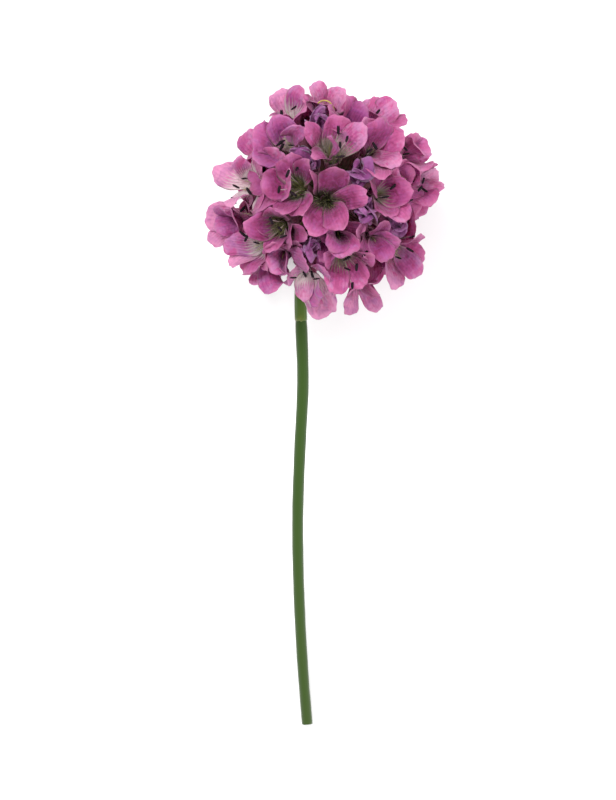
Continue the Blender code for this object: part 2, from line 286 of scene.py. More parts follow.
# florets: where each one stands and where its petals reach
florets = {
    "petals": 5,
    "start": 9.6,  # distances from the middle of the head
    "startRadius": 0.42,
    "throat": 14.3,
    "depth": 4.3,  # from the throat up to the face that the petals' tips lie in
    "lookUp": 0.45,  # how far a floret's face turns up from its axis, and the same for some at the rim
    "lookUpMore": {"floret_05": 0.9, "floret_11": 0.8, "floret_14": 0.8, "floret_15": 0.9, "floret_20": 0.8,
                   "floret_13": 0.7, "floret_17": 0.7, "floret_10": 0.6},
    "hiddenReach": 18.6,  # of the florets on the far side
    "hiddenOutline": 16.2,  # how far these may show beyond the middle of the head
    # the same from one angle to another, in degrees, where the head is narrower
    "hiddenNarrows": ((130, 168, 13.0), (168, 196, 13.6), (-32, -8, 15.6), (-128, -96, 14.5)),
    "deeper": 0.28,  # the petals in the middle of the head are a deeper pink; those at its rim are painted paler, as the light shining through them would show
    "paler": 0.16,
    "spread": (22.0, 27.0),  # degrees from a hidden floret's axis to a tip, the second near the head's rim
    "width": 6.8,
    "fullness": 1.08,
    "handles": (4.6, 3.4),  # how long a petal holds its way at the claw and at the tip
    "limb": (0.3, 0.65),  # where the claw passes into the limb, as shares of a petal's length
    "twist": 9.0,  # degrees that every petal is turned by, on top of its own twist
    "thickness": 0.10,
    "across": 17,
    "along": 25,
    # of each petal: two numbers are a range, more are choices
    "random": {"width": (0.9, 1.08), "tint": (0.15, 0.75), "cool": (0.0, 0.0, 0.1, 0.3), "cup": (-0.13, 0.13),
               "flat": (0, 30), "twist": (-12, 12), "ruffle": (0.15, 0.55), "phase": (0, 1),
               "notch": (0.0, 0.01, 0.03), "crease": (-0.25, 0.0, 0.15, 0.35), "uneven": (0, 6.28),
               "folds": (0.04, 0.15)},
    "seed": 11,
}

# how dark the bottom of a throat is (painted shade of the deep throat, partly standing in for its dark
# hairs), how far it reaches up the petals, and how whitish it is
throatLooks = {
    "floret_01": (0.85, -0.05, 0.0),
    "floret_02": (0.40, 0.00, 0.25),
    "floret_03": (0.15, 0.06, 0.4),
    "floret_04": (0.20, 0.02, 0.3),
    "floret_06": (0.50, -0.04, 0.25),
    "floret_07": (0.15, 0.02, 0.3),
    "floret_08": (0.10, -0.04, 0.4),
    "floret_09": (0.0, 0.18, 1.0),
    "floret_10": (0.0, 0.18, 1.0),
    "floret_12": (0.0, 0.07, 1.0),
    "floret_13": (0.20, 0.00, 0.6),
    "floret_14": (0.05, 0.08, 1.0),
    "floret_15": (0.10, 0.00, 0.8),
    "floret_16": (0.30, -0.08, 0.3),
    "floret_22": (0.90, -0.14, 0.0),
    "floret_26": (0.50, -0.12, 0.0),
}
plainThroat = (0.25, -0.05, 0.2)

# petal tips seen from above, then the petal's width, its tint (0 deep magenta, 1 pale) and how violet it is;
# the tints are partly each petal's own colour and partly painted light and shade, darker for folded petals
# and paler for lit ones;
# a sixth number raises the tip out of the floret's own face
petalTips = {
    "floret_01": (
        (1.8, 5.4, 4.2, 0.34, 0), (7, 0.9, 4, 0.58, 0), (2.5, -5.4, 4.8, 0.72, 0), (-3.3, -5.9, 4, 0.7, 0),
        (-3.2, 4.4, 2.4, 0.75, 0)),
    "floret_02": (
        (-4.6, -2.8, 5, 0.6, 0), (-8, -3, 4.3, 0.42, 0), (-11.4, 3, 4.8, 0.12, 0),
        (-6.6, 7.8, 5.2, 0.22, 0), (-2.6, 6.6, 3.8, 0.2, 0)),
    "floret_03": (
        (2.6, 14.6, 4.2, 0.3, 0), (6.7, 12.2, 4.6, 0.66, 0.1, 1), (-2.2, 6.8, 3.4, 0.45, 0),
        (-3.8, 12.3, 3.6, 0.38, 0), (0, 10.4, 2.8, 0.72, 0.35, 0.5)),
    "floret_04": (
        (14.4, 2, 5.4, 0.1, 0, 1), (9.9, -3.6, 4.2, 0.5, 0), (13.3, -3.8, 4.4, 0.42, 0),
        (12, 5.4, 4.4, 0.5, 0), (7, 3.4, 4, 0.3, 0)),
    "floret_05": (
        (16.4, 6.3, 5.8, 0.4, 0.05, 1), (18.8, 5.2, 5, 0.92, 0, 0.8), (20, 2.7, 3.8, 0.66, 0, 0.4),
        (18, -1.2, 5.2, 0.35, 0, 0.2), (15.8, -3.4, 5.6, 0.4, 0, -5)),
    "floret_06": (
        (-13.4, -3.6, 5, 0.18, 0.1), (-5.4, -8.2, 4.6, 0.28, 0), (-3.2, -6.2, 3.4, 0.22, 0),
        (-9.2, -9.6, 4.6, 0.32, 0), (-8.4, -0.8, 4.2, 0.28, 0)),
    "floret_07": (
        (1, -15.9, 4.6, 0.36, 0), (6.6, -14.4, 4.4, 0.36, 0), (8.8, -9.4, 4.6, 0.3, 0),
        (5, -7, 4.2, 0.3, 0), (-0.8, -10.2, 4.2, 0.42, 0.1)),
    "floret_08": (
        (11, -14.9, 4, 0.75, 0.05), (15.2, -12.8, 4, 0.55, 0.25), (16.6, -9.6, 5, 0.3, 0, -0.5),
        (15.7, -5.6, 4.5, 0.5, 0.05), (15, -4.2, 5.6, 0.4, 0, -6)),
    "floret_09": (
        (-3.1, -16.9, 4.4, 0.74, 0), (-0.8, -17.5, 5.2, 0.48, 0.55, 0.9), (0.8, -19.4, 7.2, 0.85, 0, -0.6),
        (0.6, -11.6, 4.2, 0.62, 0.35), (-7, -12.6, 3.6, 1, 0, -1)),
    "floret_10": (
        (-18.6, 5.3, 4.4, 0.92, 0), (-15.8, -1.5, 3.4, 1, 0, 1.8), (-14.9, 7.4, 2, 0.65, 0.15),
        (-10.6, 5.4, 4.2, 0.45, 0), (-10.6, -1.6, 4.4, 0.6, 0, -1)),
    "floret_11": (
        (-17.6, -1, 4.8, 0.4, 0.5, 1), (-20.1, -2.6, 5, 0.92, 0), (-18.4, -4.8, 5, 0.5, 0.45, 0.9),
        (-19.2, -7.6, 4, 0.88, 0), (-15, -3.2, 4.8, 0.22, 0.1, 1)),
    "floret_12": (
        (-17.4, -7.6, 4.6, 0.58, 0.3), (-16, -11.6, 3.6, 0.95, 0, 0.4), (-13.4, -13, 4.6, 0.5, 0.15),
        (-9.6, -12, 4.2, 0.38, 0), (-11.4, -4.4, 4.2, 0.3, 0)),
    "floret_13": (
        (-7.8, 13.8, 4.9, 0.42, 0.5), (-13, 11.2, 5.4, 0.45, 0.35), (-12.5, 6, 4.8, 0.42, 0.4),
        (-7, 5.4, 4.8, 0.22, 0), (-3.8, 12.2, 3.8, 0.6, 0.35)),
    "floret_14": (
        (-8, 18.2, 4.6, 0.97, 0), (-3.2, 18.4, 5, 0.52, 0.25, 0.4), (-3.4, 14.8, 5.2, 0.38, 0.1, 0.8),
        (-8.8, 13.6, 4.2, 0.4, 0.1), (-7.2, 16.4, 5.6, 0.5, 0, -6)),
    "floret_15": (
        (-2.6, 19.2, 4.6, 0.72, 0), (3.4, 18.7, 4.8, 0.72, 0), (-0.9, 16, 4.8, 0.15, 0.1, 0.5),
        (1.4, 17.4, 5.6, 0.4, 0, -6), (-4.4, 16.8, 5, 0.5, 0.1, 0)),
    "floret_16": (
        (9.4, 13.9, 5.2, 0.2, 0.15, 1), (6.2, 14, 4.3, 0.35, 0.1), (8.5, 2.8, 4.8, 0.66, 0, 1.2),
        (12, 5.6, 4.4, 0.72, 0, 1), (13.4, 10, 4.6, 0.4, 0, 0.4)),
    "floret_17": (
        (14.7, 11.2, 5.4, 0.45, 0, 0.4), (15, 8.4, 4.4, 0.3, 0, 1), (17.8, 7.8, 4.9, 0.42, 0.1),
        (16.2, 4.4, 5.8, 0.45, 0, 1), (15.8, 8.2, 5.6, 0.4, 0, -6)),
    "floret_18": (
        (9.4, 15.4, 5.6, 0.4, 0.1, -6), (8.5, 17.6, 3.2, 0.62, 0), (12, 15.4, 5.2, 0.6, 0.05),
        (13.4, 12.6, 4.6, 0.45, 0), (7.4, 14.4, 4.3, 0.3, 0.2)),
    "floret_19": (
        (-7.4, -14.5, 5.4, 0.55, 0.35, 1), (-10.6, -13.8, 4.6, 0.62, 0.1, 0.8),
        (-10.6, -10.8, 4.6, 0.45, 0.1), (-13.4, -12.2, 4.4, 0.66, 0, 0.6), (-6.8, -11.6, 4.6, 0.5, 0.3)),
    "floret_20": (
        (3.4, -18.9, 3.4, 0.88, 0.05, 0.3), (9, -18.6, 3.4, 0.8, 0.2, 0.3), (8.8, -15.2, 4.4, 0.3, 0),
        (4, -15.2, 4.2, 0.38, 0), (7, -13.8, 4.2, 0.5, 0)),
    "floret_21": (
        (-13.4, 11.4, 4.4, 0.55, 0.1, -2.8), (-11.6, 8.2, 3.8, 0.45, 0.1, -1), (-10, 9.4, 4.2, 0.4, 0),
        (-9.8, 12.4, 4, 0.5, 0.1), (-12.7, 7.2, 4.8, 0.5, 0, -5)),
    "floret_22": (
        (0.4, -8.8, 4.8, 0.45, 0.25, 0.5), (4.4, -9.8, 5.2, 0.55, 0.1, 1), (6.6, -5, 4, 0.4, 0, -2),
        (-1, -11, 4.2, 0.3, 0.4, -2), (-1.6, -5.4, 3.6, 0.3, 0.1, -2.5)),
    "floret_23": (
        (10, -10.4, 4, 0.16, 0.2), (6, -10, 4.2, 0.22, 0), (4.8, -5.4, 3.8, 0.25, 0),
        (9.4, -3.6, 3.8, 0.3, 0.2, -0.6), (12.4, -6.4, 4.4, 0.35, 0.3, -0.4)),
    "floret_24": (
        (12.2, 7, 4.4, 0.35, 0, -1.5), (14.6, 5, 4.2, 0.3, 0, -2.2), (15.2, -2.2, 5.8, 0.3, 0, -6),
        (10.6, 1.4, 4.2, 0.4, 0, -1.5), (9.6, 6, 4.2, 0.55, 0, -1)),
    "floret_25": (
        (3.2, 17.2, 4.4, 0.24, 0, 0.8), (6.6, 15.6, 4.4, 0.25, 0.5), (0.2, 14.6, 4.2, 0.2, 0.1),
        (6.8, 11, 4, 0.35, 0.1), (1.8, 10.6, 4, 0.4, 0)),
    "floret_26": (
        (-6.4, -13, 4.8, 0.6, 0.45), (-10.4, -11.6, 4.8, 0.5, 0.2), (-9.4, -6.8, 4.2, 0.25, 0),
        (-4.6, -7.4, 4.2, 0.25, 0.1), (-3, -10.8, 5, 0.55, 0.35, 1)),
}

# petals whose shape stands out: degrees of twist, curling across (1/mm) and how steeply the tip rises
petalShapes = {
    ("floret_01", 4): {"twist": 62, "cup": 0.3},
    ("floret_03", 4): {"twist": 70, "cup": 0.5},
    ("floret_05", 2): {"twist": 35, "cup": 0.3},
    ("floret_09", 2): {"twist": 0, "cup": 0.03},
    ("floret_10", 2): {"twist": 60, "cup": 0.4},
    ("floret_12", 1): {"twist": 30, "cup": 0.25},
    ("floret_13", 4): {"twist": 45, "cup": 0.45},
    ("floret_19", 0): {"twist": 75, "cup": 0.1},
    ("floret_19", 1): {"twist": 45, "cup": 0.1},
    ("floret_22", 0): {"flat": -20, "cup": 0.15},
    ("floret_22", 1): {"flat": -20, "cup": 0.25},
}


# axis, two directions across it, the turn of the first petal and the face, all read from the frame
def readPlant(name):
    points = nodePoints(name)
    axis = unit(points.mean(axis=0))
    turn = Vector((0, 0, 1)).rotation_difference(Vector(axis))
    sideX = np.array(turn @ Vector((1, 0, 0)))
    sideY = np.array(turn @ Vector((0, 1, 0)))
    far = np.linalg.norm(points, axis=1)
    outer = points[far > 0.85 * far.max()]
    petals = florets["petals"]
    spin = np.angle(np.sum((outer @ sideX + 1j * (outer @ sideY)) ** petals)) / petals
    lookUp = florets["lookUpMore"].get(name, florets["lookUp"]) if name in petalTips else 0
    face = unit(axis + np.array((0, 0, lookUp)))
    return {"name": name, "axis": axis, "sideX": sideX, "sideY": sideY, "spin": spin, "face": face}


def sideAt(plant, angle):
    return plant["sideX"] * math.cos(angle) + plant["sideY"] * math.sin(angle)


# a petal's tip over the point (x, y), in the plane of its floret's face
def tipPoint(floret, x, y, rise=0.0):
    face = floret["face"]
    level = florets["throat"] * (floret["axis"] @ face) + florets["depth"] + rise
    return np.array((x, y, (level - x * face[0] - y * face[1]) / face[2]))


# keeps a point of the far side from showing outside the head
def insideOutline(point, spare=0.0):
    reach = math.hypot(point[0], point[1])
    angle = math.degrees(math.atan2(point[1], point[0]))
    limit = florets["hiddenOutline"]
    for low, high, narrow in florets["hiddenNarrows"]:
        if low <= angle <= high or low <= angle + 360 <= high:
            limit = narrow
    share = min(1.0, (limit - spare) / max(reach, 0.01))
    return point * np.array((share, share, 1.0))


# one value for each entry, from its range or out of its choices
def drawn(rng, ranges):
    return {key: rng.uniform(*v) if len(v) == 2 else rng.choice(v) for key, v in ranges.items()}


def makePetals(floret, rng):
    axis = floret["axis"]
    petals = []
    rows = petalTips.get(floret["name"])
    for k in range(florets["petals"]):
        petal = drawn(rng, florets["random"])
        petal["width"] *= florets["width"]
        if rows:
            x, y, petal["width"], petal["tint"], petal["cool"] = rows[k][:5]
            petal["tip"] = tipPoint(floret, x, y, *rows[k][5:])
            petal["tint"] -= florets["deeper"] * (1 - smooth(math.hypot(x, y), 4.0, 13.0))
            # painted light: petals near the rim of the head are made paler, as light shining through them
            petal["tint"] += florets["paler"] * smooth(math.hypot(x, y), 9.0, 16.0)
        else:
            angle = floret["spin"] + 2 * math.pi * k / florets["petals"] + rng.uniform(-0.15, 0.15)
            spread = math.radians(florets["spread"][abs(axis[2]) < 0.45] * rng.uniform(0.85, 1.12))
            reach = florets["hiddenReach"] * rng.uniform(0.95, 1.03)
            tip = (axis * math.cos(spread) + sideAt(floret, angle) * math.sin(spread)) * reach
            petal["tip"] = insideOutline(tip)
        petal.update(petalShapes.get((floret["name"], k), {}))
        petals.append(petal)
    return petals


# the middle surface of one petal, [across, along, xyz]
def petalGrid(floret, petal):
    axis = floret["axis"]
    face = floret["face"]
    tip = petal["tip"]
    uneven = petal["uneven"]
    reach = tip - axis * florets["throat"]
    out = unit(reach - face * (reach @ face))
    side = np.cross(face, out)
    foot = unit(out - axis * (out @ axis))
    u = np.linspace(-1, 1, florets["across"])[:, None]
    v = np.linspace(0, 1, florets["along"])[None, :]
    # the rim: rounded, notched in the middle and a little uneven
    longest = 1 - 0.20 * (1 - np.sqrt(1.0001 - u**2)) - 0.04 * np.abs(u)
    longest = longest - petal["notch"] * np.exp(-(u / 0.22) ** 2)
    longest = longest + 0.013 * np.sin(5 * u + uneven) + 0.008 * np.sin(12 * u + 2 * uneven)
    t = v * longest
    # the middle line runs up the claw and bends over into the limb
    flat = math.radians(petal["flat"])
    tipWay = out * math.cos(flat) + face * math.sin(flat)
    a = axis * florets["start"] + foot * florets["startRadius"]
    b = a + unit(axis + foot * 0.25) * florets["handles"][0]
    c = tip - tipWay * florets["handles"][1]
    tt = t[..., None]
    line = bezier(tt, a, b, c, tip)
    way = 3 * (1 - tt) ** 2 * (b - a) + 6 * (1 - tt) * tt * (c - b) + 3 * tt**2 * (tip - c)
    inward = np.cross(unit(way), side)
    # across, the claw bends round the throat and the limb takes the petal's own cup
    radius = np.maximum(((line - axis * florets["throat"]) * out).sum(-1), 0.5)
    half = petal["width"] / 2 * florets["fullness"] * (0.42 + 0.58 * smooth(t, 0.08, 0.64))
    half = half * (1 - 0.06 * smooth(t, 0.80, 1.0))
    x = u * half
    limb = smooth(t, *florets["limb"])
    bend = (1 - limb) / radius + limb * petal["cup"]
    bend = np.where(np.abs(bend) < 0.01, 0.01, bend)
    lateral = np.sin(bend * x) / bend
    lift = (1 - np.cos(bend * x)) / bend
    turn = np.radians(florets["twist"] + petal["twist"] * smooth(t, 0.35, 1.0))
    # ruffles along the rim, a crease down the middle and soft folds
    lift = lift + petal["ruffle"] * limb * u**2 * np.sin(2 * np.pi * (1.6 * t + petal["phase"]) + u)
    lift = lift + petal["crease"] * limb * (np.sqrt(u**2 + 0.02) - 0.14)
    wave = np.sin(5.5 * u + 3 * uneven + 2.4 * t)
    lift = lift + petal["folds"] * limb * wave * (0.4 + 0.6 * np.abs(u))
    lift = lift + 0.4 * petal["folds"] * t**3 * np.sin(15 * u * t + 5 * uneven)
    sideways = lateral * np.cos(turn) - lift * np.sin(turn)
    up = lateral * np.sin(turn) + lift * np.cos(turn)
    petal["along"] = t
    petal["across"] = u + 0 * t
    return line + side * sideways[..., None] + inward * up[..., None]


# buds: five violet petals, still furled round one another
buds = {
    "tip": 17.6,
    "reach": (0.89, 1.02),  # share of that
    "spread": (5, 9),  # degrees from the bud's axis to a petal's tip
    "width": 3.5,
    "fixed": {"ruffle": 0.65, "notch": 0.03, "folds": 0.34},
    "random": {"width": (0.85, 1.15), "tint": (0.05, 0.65), "cool": (0.3, 0.9), "cup": (0.3, 0.8),
               "flat": (-60, 40), "twist": (35, 100), "phase": (0, 1), "crease": (0.1, 0.5),
               "uneven": (0, 6.28)},
}


def makeBudPetals(bud, rng):
    petals = []
    for k in range(florets["petals"]):
        angle = bud["spin"] + 2 * math.pi * (k + rng.uniform(-0.2, 0.2)) / florets["petals"]
        lean = math.radians(rng.uniform(*buds["spread"]))
        way = bud["axis"] * math.cos(lean) + sideAt(bud, angle) * math.sin(lean)
        tip = way * buds["tip"] * rng.uniform(*buds["reach"])
        petal = {"tip": tip, **buds["fixed"], **drawn(rng, buds["random"])}
        petal["width"] *= buds["width"]
        petals.append(petal)
    return petals


# petals press on one another, on the buds and on the floor, and give way
packing = {
    "rounds": 24,
    "furthest": 0.75,  # that a point of a petal gives way
    "stiffness": 0.3,
    "gap": 0.18,
    "reach": 0.9,  # of two petals' sizes, within which they may touch
    "rim": 0.6,  # how far beyond a petal's rim it still pushes, and how hard it pushes at most
    "step": 0.4,  # that a point moves in one round
    "seen": 21,  # the florets that stand foremost
    "give": {"seen": 0.35, "filling": 1.0, "hidden": 1.0},  # how readily a petal moves
    "calyx": (1.3, 13.6),  # radius and top of what other petals keep clear of
    "bud": (1.7, 17.0),
    "floorGap": 0.15,
}


# a matrix that takes values at the coarse stations smoothly to the fine ones
def carry(coarse, fine):
    matrix = np.array([np.interp(np.arange(fine), coarse, row) for row in np.eye(len(coarse))]).T
    soft = np.pad(matrix, ((1, 1), (0, 0)), "edge")
    return (soft[:-2] + 2 * soft[1:-1] + soft[2:]) / 4


def sheetNormals(p):
    return unit(np.cross(np.gradient(p, axis=1), np.gradient(p, axis=2)))


# for each point of a: its height over sheet b, how near it is to b's face, and b's normal there
def nearestOn(a, b, normalB):
    gap = ((a[:, :, None] - b[:, None]) ** 2).sum(-1)
    index = gap.argmin(axis=2)[..., None]
    diff = a - np.take_along_axis(b, index, 1)
    normal = np.take_along_axis(normalB, index, 1)
    height = (diff * normal).sum(-1)
    beyond = np.linalg.norm(diff - height[..., None] * normal, axis=-1)
    return height, np.clip(1.9 - beyond / packing["rim"], 0, 1), normal


def settle(grids, owner, give, axes, budAxes):
    n, fineU, fineV = grids.shape[:3]
    stepsU = np.arange(0, fineU, 2)
    stepsV = np.arange(0, fineV, 3)
    free = (np.arange(len(stepsV)) >= 2).astype(float)[None, None, :, None]  # the claws stay where they are
    rest = grids[:, stepsU][:, :, stepsV]
    moved = np.zeros_like(rest)
    centre = rest[:, :, 2:].mean(axis=(1, 2))
    size = np.linalg.norm(rest[:, :, 2:] - centre[:, None, None], axis=-1).max(axis=(1, 2))
    apart = np.linalg.norm(centre[:, None] - centre[None], axis=-1)
    first, second = np.nonzero(np.triu(apart < packing["reach"] * (size[:, None] + size[None]), 1))
    shareA = give[first] / (give[first] + give[second])
    side = None
    floor = -headCentre[2] / mm + packing["floorGap"]
    for step in range(packing["rounds"]):
        p = rest + moved
        normal = sheetNormals(p)
        flat = p[:, :, 2:].reshape(n, -1, 3)
        flatNormal = normal[:, :, 2:].reshape(n, -1, 3)
        a, b = flat[first], flat[second]
        heightA, nearA, wayA = nearestOn(a, b, flatNormal[second])
        heightB, nearB, wayB = nearestOn(b, a, flatNormal[first])
        if side is None:  # each petal stays on the side of the other that most of it starts on
            alike = np.sign((flatNormal[first].mean(1) * flatNormal[second].mean(1)).sum(-1) + 1e-6)
            total = (nearA * heightA).sum(1) - alike * (nearB * heightB).sum(1)
            side = np.where(total >= 0, 1.0, -1.0)
            sideB = -side * alike
        push = np.zeros_like(flat)
        gapA = np.clip(packing["gap"] - side[:, None] * heightA, 0, packing["rim"])
        gapB = np.clip(packing["gap"] - sideB[:, None] * heightB, 0, packing["rim"])
        wantA = gapA * nearA * shareA[:, None]
        wantB = gapB * nearB * (1 - shareA)[:, None]
        np.add.at(push, first, wantA[..., None] * side[:, None, None] * wayA)
        np.add.at(push, second, wantB[..., None] * sideB[:, None, None] * wayB)
        # the other florets' calyces, and the buds
        for posts, (radius, top) in ((axes, packing["calyx"]), (budAxes, packing["bud"])):
            along = flat @ posts.T
            off = flat[:, :, None] - along[..., None] * posts
            distance = np.linalg.norm(off, axis=-1) + 1e-6
            room = radius * np.clip((top - along) / 0.8, 0, 1)
            if posts is axes:
                room[np.arange(n), :, owner] = 0
            push += (np.clip(room - distance, 0, 0.5)[..., None] * off / distance[..., None]).sum(axis=2)
        length = np.linalg.norm(push, axis=-1, keepdims=True)
        push *= packing["step"] / np.maximum(length, packing["step"])
        moved[:, :, 2:] += push.reshape(n, len(stepsU), -1, 3)
        moved[..., 2] += np.maximum(floor - (rest + moved)[..., 2], 0)
        around = np.pad(moved, ((0, 0), (1, 1), (1, 1), (0, 0)), "edge")
        mean = (around[:, :-2, 1:-1] + around[:, 2:, 1:-1] + around[:, 1:-1, :-2] + around[:, 1:-1, 2:]) / 4
        moved = (moved + packing["stiffness"] * (mean - moved)) * free
        length = np.linalg.norm(moved, axis=-1, keepdims=True)
        moved *= packing["furthest"] / np.maximum(length, packing["furthest"])
    grids = grids + np.einsum("ua,nabx,vb->nuvx", carry(stepsU, fineU), moved, carry(stepsV, fineV))
    grids[..., 2] += np.maximum(floor - grids[..., 2], 0)
    return grids


# closes each surface into a thin body, thinner at its rim
def shell(grids, thickness):
    points, faces, start = [], [], 0
    for grid in grids:
        n, m = grid.shape[:2]
        normal = sheetNormals(grid[None])[0]
        u = np.abs(np.linspace(-1, 1, n))[:, None]
        v = np.linspace(0, 1, m)[None, :]
        wall = thickness * (1 - 0.6 * np.maximum(u, v) ** 6) / 2
        half = normal * wall[..., None]
        points += [(grid + half).reshape(-1, 3), (grid - half).reshape(-1, 3)]
        index = np.arange(n * m).reshape(n, m) + start
        quad = np.stack((index[:-1, :-1], index[1:, :-1], index[1:, 1:], index[:-1, 1:]), -1).reshape(-1, 4)
        inner = quad[:, ::-1] + n * m
        edge = np.concatenate((index[:, 0], index[-1, 1:], index[-2::-1, -1], index[0, -2:0:-1]))
        after = np.roll(edge, -1)
        rim = np.stack((after, edge, edge + n * m, after + n * m), -1)
        faces += [quad, inner, rim]
        start += 2 * n * m
    return np.concatenate(points), np.concatenate(faces)


# values for the outer and the inner wall
def twice(values):
    return np.concatenate([np.concatenate((v.ravel(), v.ravel())) for v in values])


rng = random.Random(florets["seed"])
allFlorets = [readPlant(name) for name in sorted(nodes) if name.startswith("floret_")]
allBuds = [readPlant(name) for name in sorted(nodes) if name.startswith("bud_")]
grids, owner, give = [], [], []
for index, floret in enumerate(allFlorets):
    floret["petals"] = makePetals(floret, rng)
    kind = "seen" if index < packing["seen"] else "filling" if floret["name"] in petalTips else "hidden"
    for petal in floret["petals"]:
        grids.append(petalGrid(floret, petal))
        owner.append(index)
        give.append(packing["give"][kind])
owner = np.array(owner)
floretAxes = np.array([floret["axis"] for floret in allFlorets])
budAxes = np.array([bud["axis"] for bud in allBuds])
grids = settle(np.array(grids), owner, np.array(give), floretAxes, budAxes)
print("petals settled:", len(grids))

for index, floret in enumerate(allFlorets):
    floret["grids"] = list(grids[owner == index])
for bud in allBuds:
    bud["petals"] = makeBudPetals(bud, rng)
    bud["grids"] = [petalGrid(bud, petal) for petal in bud["petals"]]
for plant in allFlorets + allBuds:
    petals = plant["petals"]
    for petal in petals:
        petal["shade"], petal["pale"], petal["light"] = throatLooks.get(plant["name"], plainThroat)
    attributes = {key: twice([petal["along"] * 0 + petal[key] for petal in petals])
                  for key in ("along", "across", "tint", "cool", "shade", "pale", "light")}
    attributes["inside"] = np.concatenate([np.repeat((0.0, 1.0), petal["along"].size) for petal in petals])
    name = plant["name"].replace("floret", "corolla").replace("bud", "bud_petals")
    mesh = newMesh(name, *shell(plant["grids"], florets["thickness"]), attributes)
    isBud = name.startswith("bud")
    newPiece(mesh, budSkin if isBud else petalSkin, [plant["name"]])
print("corollas and bud petals:", len(allFlorets + allBuds))

# calyces: a papery funnel with ten ribs on a thin pedicel
calyces = {
    "foot": 3.0,  # distances from the middle of the head
    "base": 6.2,
    "mouth": 12.4,
    "pedicelRadius": 0.40,
    "baseRadius": 0.60,
    "mouthRadius": 1.22,
    "wall": 0.07,
    "ribs": 10,
    "ribHeight": 0.07,
    "scallop": 0.45,
    "around": 40,
    "along": 16,
    # partly the calyx's own colour, green-brown at the pedicel and pinkish at the papery mouth, and partly
    # painted shade of the gaps between the florets: darker and purpler, darkest deep in the head
    "stops": ((0.0, (0.10, 0.09, 0.035)), (0.45, (0.20, 0.075, 0.085)), (0.8, (0.36, 0.12, 0.20)),
              (1.0, (0.52, 0.27, 0.37))),
    "over": "high",  # the attribute that the colours follow, from the pedicel to the mouth
    "roughness": 0.7,
    "translucency": 0.25,
}


# middle, ring and radius of the tube, and how high each point is
def calyxGrid(plant):
    turn = np.linspace(0, 2 * np.pi, calyces["around"], endpoint=False)[:, None]
    v = np.linspace(0, 1, calyces["along"])[None, :]
    top = calyces["mouth"] + calyces["scallop"] * np.abs(np.cos(turn * calyces["ribs"] / 4))
    h = calyces["foot"] + v * (top - calyces["foot"])
    funnel = smooth(h, calyces["base"] - 0.6, calyces["base"] + 0.4)
    flare = np.clip((h - calyces["base"]) / (calyces["mouth"] - calyces["base"]), 0, 1.2) ** 1.3
    r = calyces["pedicelRadius"] + funnel * (calyces["baseRadius"] - calyces["pedicelRadius"])
    r = r + (calyces["mouthRadius"] - calyces["baseRadius"]) * flare
    r = r + calyces["ribHeight"] * funnel * np.cos(turn * calyces["ribs"])
    ring = plant["sideX"] * np.cos(turn)[..., None] + plant["sideY"] * np.sin(turn)[..., None]
    return plant["axis"] * h[..., None], ring, r, np.clip((h - 5) / 8, 0, 1) + 0 * r


# a closed tube with two walls: centre and ring are (around, along, 3), r is the outer radius
def walledTube(name, centre, ring, r, high, wall):
    outer = centre + ring * r[..., None]
    inner = centre + ring * np.maximum(r - wall, 0.1)[..., None]
    last = r.size
    index = np.arange(last).reshape(r.shape)
    after = np.roll(index, -1, axis=0)
    side = np.stack((index[:, :-1], after[:, :-1], after[:, 1:], index[:, 1:]), -1).reshape(-1, 4)
    upper = np.stack((index[:, -1], after[:, -1], after[:, -1] + last, index[:, -1] + last), -1)
    lower = np.stack((after[:, 0], index[:, 0], index[:, 0] + last, after[:, 0] + last), -1)
    faces = np.concatenate((side, side[:, ::-1] + last, upper, lower))
    points = np.concatenate((outer.reshape(-1, 3), inner.reshape(-1, 3)))
    return newMesh(name, points, faces, {"high": twice([high])})


calyxSkin = plainMaterial("calyxSkin", calyces)
for plant in allFlorets + allBuds:
    mesh = walledTube("calyx_" + plant["name"], *calyxGrid(plant), calyces["wall"])
    newPiece(mesh, calyxSkin, [plant["name"]])
print("calyces:", len(allFlorets + allBuds))


# threads: filaments, styles, hairs and the scape are drawn as lines, and one node tree makes them round

def newTree(name, inputs):
    tree = bpy.data.node_groups.new(name, "GeometryNodeTree")
    tree.interface.new_socket("Geometry", in_out="INPUT", socket_type="NodeSocketGeometry")
    for key, (kind, value) in inputs.items():
        socket = tree.interface.new_socket(key, in_out="INPUT", socket_type=kind)
        if value is not None:
            socket.default_value = value
    tree.interface.new_socket("Geometry", in_out="OUTPUT", socket_type="NodeSocketGeometry")
    return tree, tree.nodes.new("NodeGroupInput"), tree.nodes.new("NodeGroupOutput")


# every tree ends in real, plain geometry with its material
def endTree(tree, geometry, into, out):
    real = addNode(tree, "GeometryNodeRealizeInstances", {"Geometry": geometry})
    inputs = {"Geometry": real.outputs[0], "Material": into.outputs["Material"]}
    skin = addNode(tree, "GeometryNodeSetMaterial", inputs)
    tree.links.new(skin.outputs[0], out.inputs[0])
    return tree


# runs a tree over a mesh and gives the plain mesh that comes out
def bake(name, mesh, tree, values):
    thing = bpy.data.objects.new(name, mesh)
    bpy.context.scene.collection.objects.link(thing)
    modifier = thing.modifiers.new("nodes", "NODES")
    modifier.node_group = tree
    for socket in tree.interface.items_tree:
        if socket.in_out == "INPUT" and socket.name in values:
            modifier[socket.identifier] = values[socket.name]
    evaluated = thing.evaluated_get(bpy.context.evaluated_depsgraph_get())
    result = bpy.data.meshes.new_from_object(evaluated)
    bpy.data.objects.remove(thing)
    result.name = name
    return result


